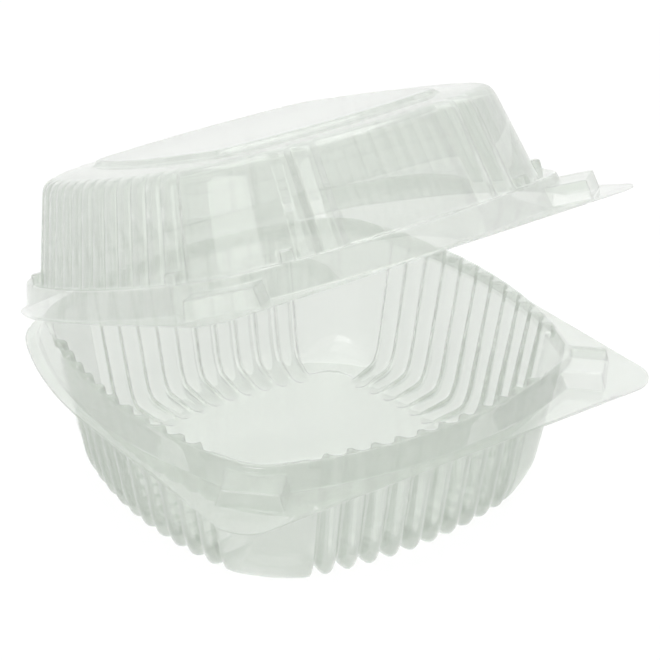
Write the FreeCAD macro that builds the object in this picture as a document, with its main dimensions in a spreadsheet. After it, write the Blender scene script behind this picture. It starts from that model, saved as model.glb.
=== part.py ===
import FreeCAD, Part

import math
import os

from FreeCAD import Placement, Rotation, Vector

# A clear clamshell pack, formed from one thin sheet: a fluted tray and a domed
# lid that turns about the fold along the tray's back edge. Millimetres.
#
# Origin: the middle of the plane that the tray rests on. +Z is up, -Y is the
# front with the two latch corners, and the fold runs along X at the back.
#
# Every outline is a bowed square: four wide side arcs, whose centres lie
# bow_centre past the middle, and four corner arcs. Outlines that share those
# centres lie evenly inside each other, so a size below is often an inset.

SIZES = (
    # name, value, what it is
    ("sheet_wall", 0.4, "thickness of the formed sheet"),
    ("bow_centre", 65.25, "how far past the middle each side arc has its centre"),
    # tray, rim
    ("crest_half", 70.0, "middle to the outer edge of the rim's crest, at mid side"),
    ("crest_corner", 17.6, "corner radius of the crest"),
    ("crest_height", 46.6, "top of the crest"),
    ("band_spread", 2.9, "how far the band below the crest slopes outwards"),
    ("flange_top", 39.55, "top face of the tray's flange"),
    ("flange_reach", 3.1, "flange beyond the foot of the band"),
    ("tab_corner", 10.5, "corner radius of the two front tabs"),
    ("hinge_half", 32.0, "half the length of the fold's straight edge"),
    # tray, fluted wall
    ("flute_count", 10, "flutes on each side of the tray"),
    ("flute_flats", 4, "flat facets across a tray flute"),
    ("side_flats", 2, "flat facets from the last flute to a smooth corner"),
    ("corner_flats", 9, "flat facets round a smooth corner"),
    ("flute_step", 3.246, "degrees from one flute to the next about the side arc's centre"),
    ("ridge_turn", 0.45, "degrees that the ridge between two flutes takes up"),
    ("corner_gap", 0.7, "degrees from the last flute to the smooth corner"),
    ("flute_rim", 0.9, "inset of the flutes at the rim"),
    ("ridge_rim", 3.5, "inset of the ridges at the rim"),
    ("corner_rim", 1.6, "inset of the smooth corners at the rim"),
    ("wall_foot", 8.0, "height where the wall starts to turn in"),
    ("flute_foot", 7.3, "inset of the flutes there"),
    ("ridge_foot", 11.4, "inset of the ridges there"),
    ("corner_foot", 8.4, "inset of the smooth corners there"),
    ("bend_height", 2.0, "height halfway round the turn into the feet"),
    ("flute_bend", 9.7, "inset of the flutes there"),
    ("ridge_bend", 13.4, "inset of the ridges there"),
    ("corner_bend", 10.6, "inset of the smooth corners there"),
    ("ridge_lift", 2.4, "height of the ridges over the flutes in the turn"),
    ("foot_inset", 12.5, "inset of the line where the feet meet the ground"),
    ("ridge_inset", 16.5, "inset of the ridges beside that line"),
    ("ridge_height", 3.7, "height of the ridges beside that line"),
    ("channel_end", 23.0, "inset where the channels under the floor end"),
    ("channel_ridge", 2.7, "height of the ridges there"),
    ("pad_inset", 20.0, "inset of the inner edge of the corner pads"),
    ("floor_height", 1.9, "underside of the floor"),
    ("floor_ridge", 25.0, "inset of the floor's edge at the ridges"),
    ("floor_flute", 28.0, "inset of the floor's edge at the channels"),
    ("floor_corner", 23.2, "inset of the floor's edge beside its corners"),
    ("pad_turn", 4.0, "degrees that the corner pads reach back along the sides"),
    ("floor_turn", 4.4, "degrees that the floor's corners reach back along the sides"),
    ("pad_trim", 3.2, "how far the pads are cut back across the diagonal"),
    ("pad_depth", 6.5, "width of a pad across the diagonal"),
    ("floor_tip", 56.5, "middle to a corner of the floor"),
    # crest notches and the bumps that the lid has above them
    ("notch_turn", 17.6, "degrees from mid side to a notch in the crest"),
    ("notch_width", 4.0, "width of a notch"),
    ("notch_depth", 3.0, "depth of a notch"),
    ("notch_inset", 1.2, "inset of a notch's outer wall"),
    ("bump_height", 3.0, "height of a bump over the lid's ledge"),
    ("bump_inset", 0.6, "inset of a bump from the ledge's outer edge"),
    # latch blocks on the two front corners
    ("block_reach", 91.0, "middle to a block's outer face at its foot"),
    ("block_lean", 1.0, "how far that face leans in towards its top"),
    ("block_width", 19.5, "width of a block at its foot"),
    ("block_taper", 1.25, "how far each end of a block leans in"),
    ("block_height", 4.95, "height of a block over the flange"),
    ("block_root", 74.0, "middle to where a block has merged into the rim"),
    # lid, in the closed position
    ("lid_gap", 0.45, "clearance between the two flanges when shut"),
    ("skirt_gap", 0.8, "clearance between lid skirt and band at the flange"),
    ("skirt_lean", 2.0, "how far the skirt leans in towards the ledge"),
    ("skirt_height", 8.3, "ledge over the lid's flange"),
    ("lid_block_gap", 0.9, "clearance between the lid's latch blocks and the tray's"),
    ("lid_block_height", 5.6, "height of a lid block over the lid's flange"),
    ("dome_inset", 2.2, "inset of the dome's foot from the ledge's edge"),
    ("dome_corner", 46.0, "corner radius of the dome's foot"),
    ("dome_height", 29.0, "shoulder over the ledge"),
    ("dome_lean", 6.8, "how far the dome's wall leans in below its edge rounding"),
    ("edge_round", 3.6, "size of the rounding between wall and shoulder"),
    ("shoulder_rise", 0.6, "rise of the shoulder towards the plateau"),
    ("plateau_inset", 26.0, "inset of the plateau's edge from the dome's foot"),
    ("plateau_rise", 1.5, "height of the plateau over the shoulder"),
    ("plateau_slope", 1.6, "width of the slope around the plateau"),
    ("plateau_tip", 1.8, "extra reach of the plateau's corners"),
    ("lid_flute_count", 13, "flutes on the dome's left and right sides"),
    ("lid_flute_flats", 3, "flat facets across a dome flute"),
    ("lid_flute_pitch", 6.75, "pitch of those flutes"),
    ("lid_flute_depth", 1.2, "depth of the grooves between them"),
    ("panel_flats", 4, "flat facets across a panel of the dome"),
    ("dome_flats", 11, "flat facets round a corner of the dome"),
    ("panel_half", 22.5, "half the width of the flat panel on the dome's front and back"),
    ("panel_inset", 0.5, "how far that panel is set in"),
    ("rib_pitch", 8.0, "pitch of the two ribs beside each panel"),
    ("rib_top", 1.8, "width of a rib's top"),
    ("rib_height", 1.8, "height of a rib over the dome"),
    ("hinge_gap", 0.6, "from the flange's back edge to the fold line"),
    ("lid_open", 22.66, "degrees that the lid stands open at rest"),
)

doc = FreeCAD.newDocument("clamshell_pack")
sheet = doc.addObject("Spreadsheet::Sheet", "sizes")
for row, (alias, size, meaning) in enumerate(SIZES, start=1):
    sheet.set(f"A{row}", meaning)
    sheet.set(f"B{row}", str(size))
    sheet.setAlias(f"B{row}", alias)
doc.recompute()


def size(alias):
    return float(sheet.get(alias))


def bind(target, **expressions):
    """Ties properties of an object to words of the sheet."""
    for name, expression in expressions.items():
        words = expression
        for alias, _, _ in sorted(SIZES, key=lambda entry: -len(entry[0])):
            words = words.replace(f"[{alias}]", f"sizes.{alias}")
        target.setExpression(name, words)
    return target


def join(kind, name, shapes):
    """A boolean of several shapes."""
    result = doc.addObject(kind, name)
    result.Shapes = shapes
    return result


def cut(name, base, tool):
    result = doc.addObject("Part::Cut", name)
    result.Base = base
    result.Tool = tool
    return result


def upright_edges(shape, height):
    """Numbers of the edges that climb through the full height of a shape."""
    found = []
    for number, edge in enumerate(shape.Edges, start=1):
        box = edge.BoundBox
        if box.ZLength > 0.9 * height and max(box.XLength, box.YLength) < height:
            found.append(number)
    return found


def rounded(name, base, radius, edges):
    result = doc.addObject("Part::Fillet", name)
    result.Base = base
    result.Edges = [(number, radius, radius) for number in edges]
    return result


def bowed_square(name, half_low, half_high, corner, low, high):
    """A solid of bowed square outline, straight or tapered, from low to high."""
    cones = []
    for side in range(4):
        turn = 90.0 * side
        straight = half_low == half_high
        cone = doc.addObject("Part::Cylinder" if straight else "Part::Cone", f"{name}_side_{side}")
        if straight:
            bind(cone, Radius=f"[bow_centre] + {half_low}")
        else:
            bind(cone, Radius1=f"[bow_centre] + {half_low}", Radius2=f"[bow_centre] + {half_high}")
        bind(cone, Height=f"({high}) - ({low})")
        cone.Placement = Placement(Vector(), Rotation(Vector(0, 0, 1), turn + 90.0))
        bind(cone, **{
            "Placement.Base.x": f"-[bow_centre] * sin({turn} deg)",
            "Placement.Base.y": f"[bow_centre] * cos({turn} deg)",
            "Placement.Base.z": low,
        })
        cones.append(cone)
    common = join("Part::MultiCommon", f"{name}_square", cones)
    doc.recompute()
    height = common.Shape.BoundBox.ZLength
    sharp = [
        number
        for number, edge in enumerate(common.Shape.Edges, start=1)
        if edge.BoundBox.ZLength > 0.9 * height
    ]
    return rounded(name, common, corner, sharp)


# Bowed square outlines by formula, for the fluted walls


def turned(point, side):
    """A point of the front side, moved to one of the four sides."""
    return Rotation(Vector(0, 0, 1), 90.0 * side).multVec(point)


def side_point(half, degrees, height, side):
    """On a side arc, degrees from mid side about the arc's centre."""
    reach = size("bow_centre") + half
    angle = math.radians(degrees)
    point = Vector(reach * math.sin(angle), size("bow_centre") - reach * math.cos(angle), height)
    return turned(point, side)


def corner_point(reach, height, side):
    """On the diagonal that ends a side."""
    return turned(Vector(reach / math.sqrt(2), -reach / math.sqrt(2), height), side)


def corner_centre(half, corner):
    """Where a corner arc's centre lies along x and y, for an outline of this size."""
    bow = size("bow_centre")
    return (math.sqrt(2 * (bow + half - corner) ** 2 - bow ** 2) - bow) / 2


def side_end(half, corner):
    """Degrees from mid side to where the corner arc starts."""
    centre = corner_centre(half, corner)
    return math.degrees(math.atan2(centre, centre + size("bow_centre")))


def run_point(half, corner, run, inset, height, side):
    """A point a given run along the outline from mid side, set in square to it."""
    bow = size("bow_centre") + half
    end = math.radians(side_end(half, corner))
    sign = 1 if run >= 0 else -1
    if abs(run) <= bow * end:
        angle = run / bow
        reach = bow - inset
        centre = Vector(0, size("bow_centre"), height)
    else:
        angle = sign * (end + (abs(run) - bow * end) / corner)
        reach = corner - inset
        along = corner_centre(half, corner)
        centre = Vector(sign * along, -along, height)
    return turned(centre + Vector(math.sin(angle), -math.cos(angle), 0) * reach, side)


def line(start, end):
    return Part.makeLine(start, end)


def flats(start, middle, end, count):
    """Lines between evenly spaced points of the arc through three points."""
    points = Part.Arc(start, middle, end).discretize(count + 1)
    return [line(*pair) for pair in zip(points, points[1:])]


def loft(name, wires):
    """A solid through closed outlines, one above the other, and its object."""
    solid = Part.makeLoft(wires, True, True)
    if solid.Volume < 0:
        solid.reverse()
    result = doc.addObject("Part::Feature", name)
    result.Shape = solid
    return result


def facet(points):
    return Part.Face(Part.makePolygon(points + points[:1]))


def band_faces(low, high):
    """Flat facets between two outlines that have as many edges."""
    faces = []
    for start, end in zip(low.OrderedEdges, high.OrderedEdges):
        first, second = (start.valueAt(value) for value in start.ParameterRange)
        fourth, third = (end.valueAt(value) for value in end.ParameterRange)
        faces.append(facet([first, second, third]))
        faces.append(facet([first, third, fourth]))
    return faces


def formed_sheet(name, outside, inside):
    """A hollow form between two skins that share the height of their open end."""
    faces = []
    for skin in (outside, inside):
        for low, high in zip(skin, skin[1:]):
            faces += band_faces(low, high)
    faces.append(Part.Face(outside[-1]))
    faces.append(Part.Face(inside[-1]))
    faces.append(Part.makeFace([outside[0], inside[0]], "Part::FaceMakerBullseye"))
    sewn = Part.makeCompound(faces)
    sewn.sewShape()
    solid = Part.Solid(sewn.Shells[0])
    if solid.Volume < 0:
        solid.reverse()
    result = doc.addObject("Part::Feature", name)
    result.Shape = solid.removeSplitter()
    return result


def inner_profile(points, cap_first, wall):
    """The profile of (inset, height) that lies inside another by a wall.

    The profile runs from the open end to a flat end: each vertex moves square
    to its two neighbours by the wall.
    """
    normals = []
    for (inset, height), (next_inset, next_height) in zip(points, points[1:]):
        length = math.hypot(next_inset - inset, next_height - height)
        normals.append((abs(next_height - height) / length, -cap_first * (next_inset - inset) / length))
    normals.append((0.0, -float(cap_first)))
    moved = []
    previous = normals[0]
    for (inset, height), normal in zip(points, normals):
        share = wall / (1 + previous[0] * normal[0] + previous[1] * normal[1])
        moved.append((
            inset + share * (previous[0] + normal[0]),
            height + share * (previous[1] + normal[1]),
        ))
        previous = normal
    return moved


def first_slope(points, height):
    """The point at a height on the line through a profile's first two points."""
    (inset, start), (next_inset, next_height) = points[0], points[1]
    share = (height - start) / (next_height - start)
    return inset + share * (next_inset - inset), height


# Tray: profiles of (inset from the crest's outline, height), from the rim to the floor

flute_profile = [
    (size("flute_rim"), size("crest_height")),
    (size("flute_foot"), size("wall_foot")),
    (size("flute_bend"), size("bend_height")),
    (size("foot_inset"), 0.0),
    (size("channel_end"), 0.0),
    (size("floor_flute"), size("floor_height")),
]
ridge_profile = [
    (size("ridge_rim"), size("crest_height")),
    (size("ridge_foot"), size("wall_foot")),
    (size("ridge_bend"), size("bend_height") + size("ridge_lift")),
    (size("ridge_inset"), size("ridge_height")),
    (size("channel_end"), size("channel_ridge")),
    (size("floor_ridge"), size("floor_height")),
]
corner_profile = [
    (size("corner_rim"), size("crest_height")),
    (size("corner_foot"), size("wall_foot")),
    (size("corner_bend"), size("bend_height")),
    (size("foot_inset"), 0.0),
    (size("pad_inset"), 0.0),
    (size("floor_corner"), size("floor_height")),
]

rim_end = side_end(size("crest_half"), size("crest_corner"))
rim_diagonal = math.sqrt(2) * corner_centre(size("crest_half"), size("crest_corner")) + size("crest_corner")
pad_end = rim_end - size("pad_turn")
floor_end = rim_end - size("floor_turn")
pad_reach = rim_diagonal - size("foot_inset") - size("pad_trim")
# where the corner arc starts at each height, in degrees, and how far it reaches
corner_turns = [rim_end, rim_end - size("pad_turn") / 2, pad_end, pad_end, pad_end, floor_end]
corner_reaches = [
    rim_diagonal - size("corner_rim"),
    rim_diagonal - size("corner_foot") - size("pad_trim") / 4,
    rim_diagonal - size("corner_bend") - size("pad_trim") * 0.75,
    pad_reach,
    pad_reach - size("pad_depth"),
    size("floor_tip"),
]


def tray_wire(flute, ridge, corner, turn, reach):
    """One closed outline of the fluted wall: flutes, ridges and smooth corners."""
    crest = size("crest_half")
    step = size("flute_step")
    count = int(size("flute_count"))
    span = step * count / 2
    edges = []
    for side in range(4):
        def ridge_at(degrees):
            return side_point(crest - ridge[0], degrees, ridge[1], side)

        def smooth_at(degrees):
            return side_point(crest - corner[0], degrees, corner[1], side)

        near = span + size("corner_gap")
        first = smooth_at(-near)
        between = (turn + near) / 2
        edges += flats(smooth_at(-turn), smooth_at(-between), first, int(size("side_flats")))
        last = first
        for number in range(count):
            start = -span + step * number + size("ridge_turn") / 2
            end = start + step - size("ridge_turn")
            hollow = side_point(crest - flute[0], (start + end) / 2, flute[1], side)
            edges.append(line(last, ridge_at(start)))
            edges += flats(ridge_at(start), hollow, ridge_at(end), int(size("flute_flats")))
            last = ridge_at(end)
        edges.append(line(last, smooth_at(near)))
        edges += flats(smooth_at(near), smooth_at(between), smooth_at(turn), int(size("side_flats")))
        following = side_point(crest - corner[0], -turn, corner[1], (side + 1) % 4)
        tip = corner_point(reach, corner[1], side)
        edges += flats(smooth_at(turn), tip, following, int(size("corner_flats")))
    return Part.Wire(edges)


def tray_inside(wall):
    """The tray's profiles set in by a wall: flutes, ridges and corners."""
    top = size("crest_height")
    inner = [inner_profile(profile, -1, wall) for profile in (flute_profile, ridge_profile, corner_profile)]
    return [[first_slope(points, top)] + points[1:] for points in inner]


def tray_wires(wall):
    """The closed outlines of one skin of the fluted wall, from the rim to the floor."""
    flutes, ridges, corners = tray_inside(wall)
    return [
        tray_wire(flute, ridge, corner, turn, reach + outer[0] - corner[0])
        for flute, ridge, corner, turn, reach, outer
        in zip(flutes, ridges, corners, corner_turns, corner_reaches, corner_profile)
    ]


def wall_level(height, wall):
    """A level outline inside the fluted wall, at a height between the rim and the wall's foot."""
    flute, ridge, corner = (first_slope(points, height) for points in tray_inside(wall))
    share = (size("crest_height") - height) / (size("crest_height") - size("wall_foot"))
    turn = corner_turns[0] + share * (corner_turns[1] - corner_turns[0])
    trimmed = corner_reaches[0] + corner_profile[0][0] - corner[0] - share * size("pad_trim") / 4
    return tray_wire(flute, ridge, corner, turn, trimmed)


tub = formed_sheet("tub", tray_wires(0.0), tray_wires(size("sheet_wall")))
# what is taken out of the rim ends inside the tub's wall, so that the two join
rim_opening = loft("rim_opening", [
    wall_level(size("crest_height") - 2 * size("notch_depth"), size("sheet_wall") / 2),
    wall_level(size("crest_height") + 1.0, size("sheet_wall") / 2),
])

# Tray rim: crest, band, flange with its front tabs and the fold's straight edge


def latch_block(name, turn, grow, low, top):
    """A tapered block on a front corner, larger all round by grow."""
    block = doc.addObject("Part::Wedge", name)
    bind(
        block,
        Xmin=f"-[block_width] / 2 - ({grow})",
        Xmax=f"[block_width] / 2 + ({grow})",
        X2min=f"-[block_width] / 2 - ({grow}) + [block_taper]",
        X2max=f"[block_width] / 2 + ({grow}) - [block_taper]",
        Ymin=low,
        Ymax=top,
        Zmin="[block_root]",
        Zmax=f"[block_reach] + ({grow})",
        Z2min="[block_root]",
        Z2max=f"[block_reach] + ({grow}) - [block_lean]",
    )
    block.Placement = Placement(
        Vector(), Rotation(Vector(0, 0, 1), turn).multiply(Rotation(Vector(1, 0, 0), 90.0))
    )
    return block


def flange_plate(name, half, corner, tab, low, high):
    """Flange: square at the front with rounded tabs, bowed at the back, straight at the fold."""
    back = bowed_square(f"{name}_back", half, half, corner, low, high)
    front = doc.addObject("Part::Box", f"{name}_front_square")
    bind(front, Length=f"2 * ({half})", Width=half, Height=f"({high}) - ({low})")
    bind(front, **{"Placement.Base.x": f"-({half})", "Placement.Base.y": f"-({half})", "Placement.Base.z": low})
    doc.recompute()
    tabs = [
        number
        for number in upright_edges(front.Shape, front.Shape.BoundBox.ZLength)
        if front.Shape.Edges[number - 1].CenterOfMass.y < -1.0
    ]
    front_tabs = rounded(f"{name}_front", front, tab, tabs)
    edge = doc.addObject("Part::Box", f"{name}_fold_edge")
    bind(edge, Length="2 * [hinge_half]", Width=f"({half}) / 2", Height=f"({high}) - ({low})")
    bind(edge, **{
        "Placement.Base.x": "-[hinge_half]",
        "Placement.Base.y": f"({half}) / 2",
        "Placement.Base.z": low,
    })
    return join("Part::MultiFuse", name, [back, front_tabs, edge])


def radial_box(name, side, degrees, width, outer, length, low, high):
    """A box across a side arc, at an angle from mid side; outer is its outer half size."""
    box = doc.addObject("Part::Box", name)
    bind(box, Length=width, Width=length, Height=f"({high}) - ({low})")
    doc.recompute()
    turn = 90.0 * side + degrees
    wide = float(box.Length)
    reach = size("bow_centre") + outer
    corner = Rotation(Vector(0, 0, 1), turn).multVec(Vector(-wide / 2, -reach, 0))
    centre = turned(Vector(0, size("bow_centre"), 0), side)
    box.Placement = Placement(centre + corner, Rotation(Vector(0, 0, 1), turn))
    bind(box, **{"Placement.Base.z": low})
    return box


flange_half = "([crest_half] + [band_spread] + [flange_reach])"
flange_corner = size("crest_corner") + size("band_spread") + size("flange_reach")
flange_low = "([flange_top] - [sheet_wall])"
hood_outside = bowed_square(
    "band_outside", "([crest_half] + [band_spread])", "[crest_half]", size("crest_corner"),
    flange_low, "[crest_height]",
)
hood_inside = bowed_square(
    "band_inside", "([crest_half] + [band_spread] - [sheet_wall])", "([crest_half] - [sheet_wall])",
    size("crest_corner") - size("sheet_wall"), "([flange_top] - 2 * [sheet_wall])",
    "([crest_height] - [sheet_wall])",
)
tray_flange = flange_plate(
    "tray_flange", flange_half, flange_corner, size("tab_corner"), flange_low, "[flange_top]"
)
LATCH_TURNS = (-45.0, 45.0)
block_top = "([flange_top] + [block_height])"
blocks = [
    latch_block(f"tray_block_{number}", turn, "0", flange_low, block_top)
    for number, turn in enumerate(LATCH_TURNS)
]
block_hollows = [
    latch_block(
        f"tray_block_hollow_{number}", turn, "-[sheet_wall]", "([flange_top] - 2 * [sheet_wall])",
        f"({block_top} - [sheet_wall])",
    )
    for number, turn in enumerate(LATCH_TURNS)
]

NOTCHES = [(side, sign) for side in range(4) for sign in (-1, 1)]
notch_cuts = []
notch_walls = []
for side, sign in NOTCHES:
    place = (side, sign * size("notch_turn"))
    label = f"{side}_{'left' if sign < 0 else 'right'}"
    outer = size("crest_half") - size("notch_inset")
    notch_cuts.append(radial_box(
        f"notch_{label}", *place, "[notch_width]", outer, "4 * [ridge_rim]",
        "([crest_height] - [notch_depth])", "([crest_height] + 1)",
    ))
    notch_walls.append(radial_box(
        f"notch_wall_{label}", *place, "([notch_width] + 2 * [sheet_wall])",
        outer + size("sheet_wall"), "2 * [ridge_rim]",
        "([crest_height] - [notch_depth] - [sheet_wall])", "[crest_height]",
    ))

hollow_under_crest = cut("hollow_under_crest", hood_inside, join("Part::MultiFuse", "notch_walls", notch_walls))
rim_mass = join("Part::MultiFuse", "rim_mass", [hood_outside, tray_flange, *blocks])
rim_space = join("Part::MultiFuse", "rim_space", [hollow_under_crest, *block_hollows])
rim = cut("rim", cut("rim_hollow", rim_mass, rim_space), rim_opening)
tray_mass = join("Part::MultiFuse", "tray_mass", [rim, tub])
tray = cut("tray_solid", tray_mass, join("Part::MultiFuse", "notch_cuts", notch_cuts))
tray.Label = "tray"

# Lid, modelled shut over the tray: profiles of (inset from the dome's foot, height)

lid_flange_low = size("flange_top") + size("lid_gap")
ledge_top = lid_flange_low + size("sheet_wall") + size("skirt_height")
skirt_foot_half = size("crest_half") + size("band_spread") + size("skirt_gap") + size("sheet_wall")
ledge_half = skirt_foot_half - size("skirt_lean")
dome_half = ledge_half - size("dome_inset")
shoulder = ledge_top + size("dome_height")
edge_inset = size("dome_lean") + size("edge_round")
dome_profile = [
    (0.0, ledge_top - size("sheet_wall")),
    (size("dome_lean"), shoulder - size("edge_round")),
    (size("dome_lean") + size("edge_round") * 0.35, shoulder - size("edge_round") * 0.3),
    (edge_inset, shoulder),
    (size("plateau_inset") - size("plateau_slope"), shoulder + size("shoulder_rise")),
    (size("plateau_inset"), shoulder + size("shoulder_rise") + size("plateau_rise")),
]
# how much of the flutes, ribs and panel is left at each height
relief = [1.0, 1.0, 1.0, 0.7, 0.0, 0.0]
tip_reach = [0.0, 0.0, 0.0, 0.0, size("plateau_tip"), size("plateau_tip")]


def lid_wire(station, share, tip):
    """One closed outline of the dome: fluted sides, ribs and panels, smooth corners."""
    inset, height = station
    corner = size("dome_corner")
    pitch = size("lid_flute_pitch")
    count = int(size("lid_flute_count"))
    flute_end = pitch * count / 2
    rib_end = size("panel_half") + 2 * size("rib_pitch")
    groove = inset + share * size("lid_flute_depth")
    panel = inset + share * size("panel_inset")
    crown = inset - share * size("rib_height")
    slope = (size("rib_pitch") - size("rib_top")) / 2
    diagonal = math.sqrt(2) * corner_centre(dome_half, corner) + corner - inset + tip
    edges = []
    for side in range(4):
        def at(run, depth):
            return run_point(dome_half, corner, run, depth, height, side)

        if side % 2:
            ends = [-flute_end + pitch * number for number in range(count + 1)]
            for start, end in zip(ends, ends[1:]):
                middle = at((start + end) / 2, inset)
                edges += flats(at(start, groove), middle, at(end, groove), int(size("lid_flute_flats")))
            own_end, next_end, own_depth, next_depth = flute_end, rib_end, groove, inset
        else:
            left = []
            for rib in (2, 1):
                foot = -size("panel_half") - rib * size("rib_pitch")
                left.append((foot, inset if rib == 2 else panel))
                left.append((foot + slope, crown))
                left.append((foot + slope + size("rib_top"), crown))
            left.append((-size("panel_half"), panel))
            right = [(-run, depth) for run, depth in reversed(left)]
            for (start, start_depth), (end, end_depth) in zip(left, left[1:]):
                edges.append(line(at(start, start_depth), at(end, end_depth)))
            edges += flats(at(*left[-1]), at(0, panel), at(*right[0]), int(size("panel_flats")))
            for (start, start_depth), (end, end_depth) in zip(right, right[1:]):
                edges.append(line(at(start, start_depth), at(end, end_depth)))
            own_end, next_end, own_depth, next_depth = rib_end, flute_end, inset, groove
        following = run_point(dome_half, corner, -next_end, next_depth, height, (side + 1) % 4)
        tip = corner_point(diagonal, height, side)
        edges += flats(at(own_end, own_depth), tip, following, int(size("dome_flats")))
    return Part.Wire(edges)


dome_foot = ledge_top - size("sheet_wall")


def lid_wires(profile):
    return [lid_wire(*row) for row in zip(profile, relief, tip_reach)]


def dome_wires(wall):
    """The closed outlines of one skin of the dome, from its foot to the plateau."""
    inner = inner_profile(dome_profile, 1, wall)
    return lid_wires([first_slope(inner, dome_foot)] + inner[1:])


def dome_level(height, wall):
    """A level outline inside the dome's wall near its foot."""
    return lid_wire(first_slope(inner_profile(dome_profile, 1, wall), height), relief[0], tip_reach[0])


dome = formed_sheet("dome", dome_wires(0.0), dome_wires(size("sheet_wall")))
ledge_opening = loft("ledge_opening", [
    dome_level(dome_foot - 1.0, size("sheet_wall") / 2),
    dome_level(ledge_top + 1.0, size("sheet_wall") / 2),
])

lid_low = "([flange_top] + [lid_gap])"
lid_top = f"({lid_low} + [sheet_wall])"
ledge = f"({lid_top} + [skirt_height])"
skirt_low = "([crest_half] + [band_spread] + [skirt_gap] + [sheet_wall])"
skirt_high = f"({skirt_low} - [skirt_lean])"
skirt_outside = bowed_square("skirt_outside", skirt_low, skirt_high, size("crest_corner"), lid_low, ledge)
skirt_inside = bowed_square(
    "skirt_inside", f"({skirt_low} - [sheet_wall])", f"({skirt_high} - [sheet_wall])",
    size("crest_corner") - size("sheet_wall"), f"({lid_low} - [sheet_wall])", f"({ledge} - [sheet_wall])",
)
lid_flange = flange_plate("lid_flange", flange_half, flange_corner, size("tab_corner"), lid_low, lid_top)
lid_block_top = f"({lid_top} + [lid_block_height])"
lid_blocks = [
    latch_block(f"lid_block_{number}", turn, "[lid_block_gap] + [sheet_wall]", lid_low, lid_block_top)
    for number, turn in enumerate(LATCH_TURNS)
]
lid_block_hollows = [
    latch_block(
        f"lid_block_hollow_{number}", turn, "[lid_block_gap]", f"({lid_low} - [sheet_wall])",
        f"({lid_block_top} - [sheet_wall])",
    )
    for number, turn in enumerate(LATCH_TURNS)
]
bumps = []
bump_hollows = []
for side, sign in NOTCHES:
    place = (side, sign * size("notch_turn"))
    label = f"{side}_{'left' if sign < 0 else 'right'}"
    outer = ledge_half - size("bump_inset")
    bumps.append(radial_box(
        f"bump_{label}", *place, "[notch_width]", outer, "[dome_inset] + [dome_lean] / 2",
        f"({ledge} - [sheet_wall] / 2)", f"({ledge} + [bump_height])",
    ))
    bump_hollows.append(radial_box(
        f"bump_hollow_{label}", *place, "([notch_width] - 2 * [sheet_wall])",
        outer - size("sheet_wall"), "[dome_inset] + [dome_lean] / 2 + 1",
        f"({ledge} - 1)", f"({ledge} + [bump_height] - [sheet_wall])",
    ))

hood_mass = join("Part::MultiFuse", "hood_mass", [skirt_outside, lid_flange, *lid_blocks])
hood_space = join("Part::MultiFuse", "hood_space", [skirt_inside, *lid_block_hollows])
hood = cut("hood", cut("hood_hollow", hood_mass, hood_space), ledge_opening)
lid_mass = join("Part::MultiFuse", "lid_mass", [hood, dome, *bumps])
lid_shut = cut("lid_shut", lid_mass, join("Part::MultiFuse", "bump_hollows", bump_hollows))
doc.recompute()

# The lid stands open at rest: its shut shape turned about the fold line

fold_line = Vector(
    0,
    size("crest_half") + size("band_spread") + size("flange_reach") + size("hinge_gap"),
    size("flange_top") + size("lid_gap") / 2,
)
lid = doc.addObject("Part::Feature", "lid_solid")
lid.Shape = lid_shut.Shape
lid.Placement = Placement(Vector(), Rotation(Vector(1, 0, 0), -size("lid_open")), fold_line)
lid.Label = "lid"
doc.recompute()

for item in doc.Objects:
    if "Invalid" in item.State or "Error" in item.State:
        raise RuntimeError(f"{item.Name} failed: {item.State}")
os.makedirs("parts", exist_ok=True)
for node in (tray, lid):
    shape = node.Shape
    if shape.isNull() or not shape.isValid():
        raise RuntimeError(f"{node.Label} has no valid shape")
    print(node.Label, len(shape.Solids), "solid", round(shape.Volume), "mm3", len(shape.Faces), "faces")
for node in (tray, lid):
    node.Shape.exportStep(f"parts/{node.Label}.step")
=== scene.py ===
# %% [markdown]
# # A clear clamshell pack
#
# The real pack is one sheet of clear plastic, warmed and sucked down over a mould. It has a
# fluted tray, a domed lid and a fold between them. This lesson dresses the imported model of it:
# both halves are worked out again as smooth surfaces, and get a finish of thin clear plastic.

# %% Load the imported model
import math

import bpy
import numpy as np
from mathutils import Matrix, Vector


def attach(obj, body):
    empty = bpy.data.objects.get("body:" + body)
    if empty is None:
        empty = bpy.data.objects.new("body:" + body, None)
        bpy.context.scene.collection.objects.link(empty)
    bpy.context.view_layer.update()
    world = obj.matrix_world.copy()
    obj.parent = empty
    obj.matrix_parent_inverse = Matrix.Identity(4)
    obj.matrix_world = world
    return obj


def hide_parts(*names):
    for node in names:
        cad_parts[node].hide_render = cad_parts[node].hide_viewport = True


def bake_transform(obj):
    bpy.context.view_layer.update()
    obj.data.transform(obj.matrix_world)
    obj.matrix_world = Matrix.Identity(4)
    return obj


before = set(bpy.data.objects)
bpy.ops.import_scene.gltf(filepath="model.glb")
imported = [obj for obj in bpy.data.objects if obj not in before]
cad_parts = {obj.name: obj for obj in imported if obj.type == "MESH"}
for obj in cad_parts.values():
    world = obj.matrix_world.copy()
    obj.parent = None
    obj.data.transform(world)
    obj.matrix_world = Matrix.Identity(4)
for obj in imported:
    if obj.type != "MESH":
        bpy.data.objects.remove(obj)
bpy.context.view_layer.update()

# %% [markdown]
# ## The sizes of the pack
#
# Every outline of the pack is a bowed square: four long side arcs and four corner arcs. All the
# side arcs share a centre that lies the same distance past the middle of the pack, so an outline
# set in by a few millimetres stays even all round. The sizes are the model's own, in millimetres.

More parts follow.
